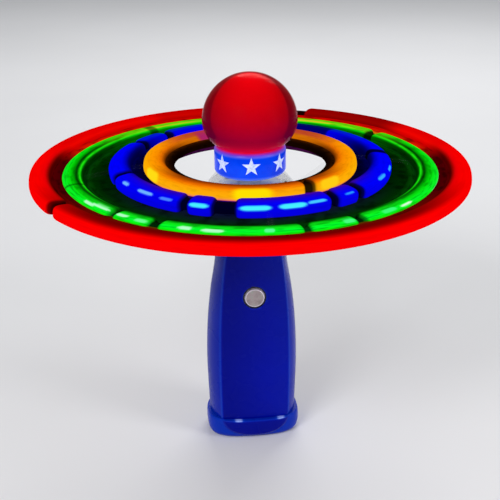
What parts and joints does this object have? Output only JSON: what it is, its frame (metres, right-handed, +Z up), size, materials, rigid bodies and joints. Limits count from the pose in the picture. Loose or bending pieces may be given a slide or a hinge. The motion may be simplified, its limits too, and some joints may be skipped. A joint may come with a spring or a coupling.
{
  "type": "light-up orbiter wand",
  "caption": "Handheld light-up spinning wand: oval battery grip with push button, geared rotor with light arms, star collar and glowing globe.",
  "frame": {"origin": "centre of the flat underside of the base cap, in line with the rotor's axis", "axes": "+Z up along the rotor's axis to the globe, -Y towards the button, +X to the right seen from the front"},
  "size_m": [0.2248, 0.2248, 0.2023],
  "materials": {
    "handle_plastic": "deep glossy blue moulded plastic",
    "collar_plastic": "bright blue translucent plastic with printed white stars",
    "globe_plastic": "red translucent plastic lit from inside",
    "button_plastic": "silver-grey plastic button",
    "clear_plastic": "clear flexible plastic",
    "capsule_orange": "clear plastic lit orange",
    "capsule_blue": "clear plastic lit blue",
    "capsule_green": "clear plastic lit green",
    "capsule_red": "clear plastic lit red",
    "led_red": "clear epoxy LED lit red",
    "led_white": "small light emitting chip",
    "black_plastic": "black moulded plastic",
    "gear_plastic": "natural white gear plastic",
    "steel": "plated steel",
    "spring_steel": "dark spring steel",
    "steel_can": "drawn steel motor can",
    "nickel": "nickel plated contact",
    "copper": "copper alloy",
    "brass": "turned brass",
    "cell_wrap": "plain shrink-wrapped dry cell",
    "board_green": "green circuit board",
    "wire_cover": "soft insulated lead"
  },
  "bodies": {
    "handle": {"handle_front_shell": "handle_plastic", "handle_rear_shell": "handle_plastic", "handle_screws": "steel", "battery_tray": "black_plastic", "battery_1": "cell_wrap", "battery_2": "cell_wrap", "battery_3": "cell_wrap", "battery_contacts": "nickel", "battery_springs": "nickel", "circuit_board": "board_green", "tact_switch": "black_plastic", "motor_can": "steel_can", "motor_end_cap": "black_plastic", "motor_screws": "steel", "head_plate": "black_plastic", "spindle": "steel", "spindle_clip": "spring_steel", "brushes": "copper", "collar": "collar_plastic", "globe": "globe_plastic", "globe_board": "board_green", "globe_leds": "led_red", "wiring": "wire_cover"},
    "base": {"base_cap": "handle_plastic", "base_cap_screw": "steel"},
    "button": {"button": "button_plastic", "switch_plunger": "black_plastic"},
    "motor": {"motor_armature": "copper", "pinion": "gear_plastic"},
    "rotor": {"rotor_gear": "gear_plastic", "rotor_bush": "brass", "rotor_shell": "clear_plastic", "rotor_cover": "clear_plastic", "rotor_screws": "steel", "slip_rings": "copper", "arm_pins": "steel"},
    "arm_1": {"arm_1_strand": "clear_plastic", "arm_1_chips": "led_white", "arm_1_capsule_orange": "capsule_orange", "arm_1_capsule_blue": "capsule_blue", "arm_1_capsule_green": "capsule_green", "arm_1_capsule_red": "capsule_red"},
    "arm_2": {"arm_2_strand": "clear_plastic", "arm_2_chips": "led_white", "arm_2_capsule_orange": "capsule_orange", "arm_2_capsule_blue": "capsule_blue", "arm_2_capsule_green": "capsule_green", "arm_2_capsule_red": "capsule_red"},
    "arm_3": {"arm_3_strand": "clear_plastic", "arm_3_chips": "led_white", "arm_3_capsule_orange": "capsule_orange", "arm_3_capsule_blue": "capsule_blue", "arm_3_capsule_green": "capsule_green", "arm_3_capsule_red": "capsule_red"},
    "arm_4": {"arm_4_strand": "clear_plastic", "arm_4_chips": "led_white", "arm_4_capsule_orange": "capsule_orange", "arm_4_capsule_blue": "capsule_blue", "arm_4_capsule_green": "capsule_green", "arm_4_capsule_red": "capsule_red"}
  },
  "joints": [
    {"name": "rotor_spin", "type": "hinge", "parent": "handle", "child": "rotor", "pos_m": [0, 0, 0.142], "axis": [0, 0, 1], "continuous": true},
    {"name": "motor_spin", "type": "hinge", "parent": "handle", "child": "motor", "pos_m": [0.0084, 0, 0.125], "axis": [0, 0, 1], "continuous": true},
    {"name": "button_press", "type": "slide", "parent": "handle", "child": "button", "axis": [0, 1, 0], "range_m": [0, 0.0009], "stiffness_N_per_m": 800, "springref_m": -0.0006},
    {"name": "base_cap_remove", "type": "slide", "parent": "handle", "child": "base", "axis": [0, 0, -1], "range_m": [0, 0.022]},
    {"name": "arm_1_flex", "type": "hinge", "parent": "rotor", "child": "arm_1", "pos_m": [0.0192, 0, 0.1424], "axis": [0, -1, 0], "range_deg": [-12, 12], "stiffness_Nm_per_rad": 0.06, "springref_deg": 0.69},
    {"name": "arm_2_flex", "type": "hinge", "parent": "rotor", "child": "arm_2", "pos_m": [0, 0.0192, 0.1424], "axis": [1, 0, 0], "range_deg": [-12, 12], "stiffness_Nm_per_rad": 0.06, "springref_deg": 0.69},
    {"name": "arm_3_flex", "type": "hinge", "parent": "rotor", "child": "arm_3", "pos_m": [-0.0192, 0, 0.1424], "axis": [0, 1, 0], "range_deg": [-12, 12], "stiffness_Nm_per_rad": 0.06, "springref_deg": 0.69},
    {"name": "arm_4_flex", "type": "hinge", "parent": "rotor", "child": "arm_4", "pos_m": [0, -0.0192, 0.1424], "axis": [-1, 0, 0], "range_deg": [-12, 12], "stiffness_Nm_per_rad": 0.06, "springref_deg": 0.69}
  ],
  "couplings": [
    {"joint": "motor_spin", "follows": "rotor_spin", "ratio": 3.3333}
  ]
}
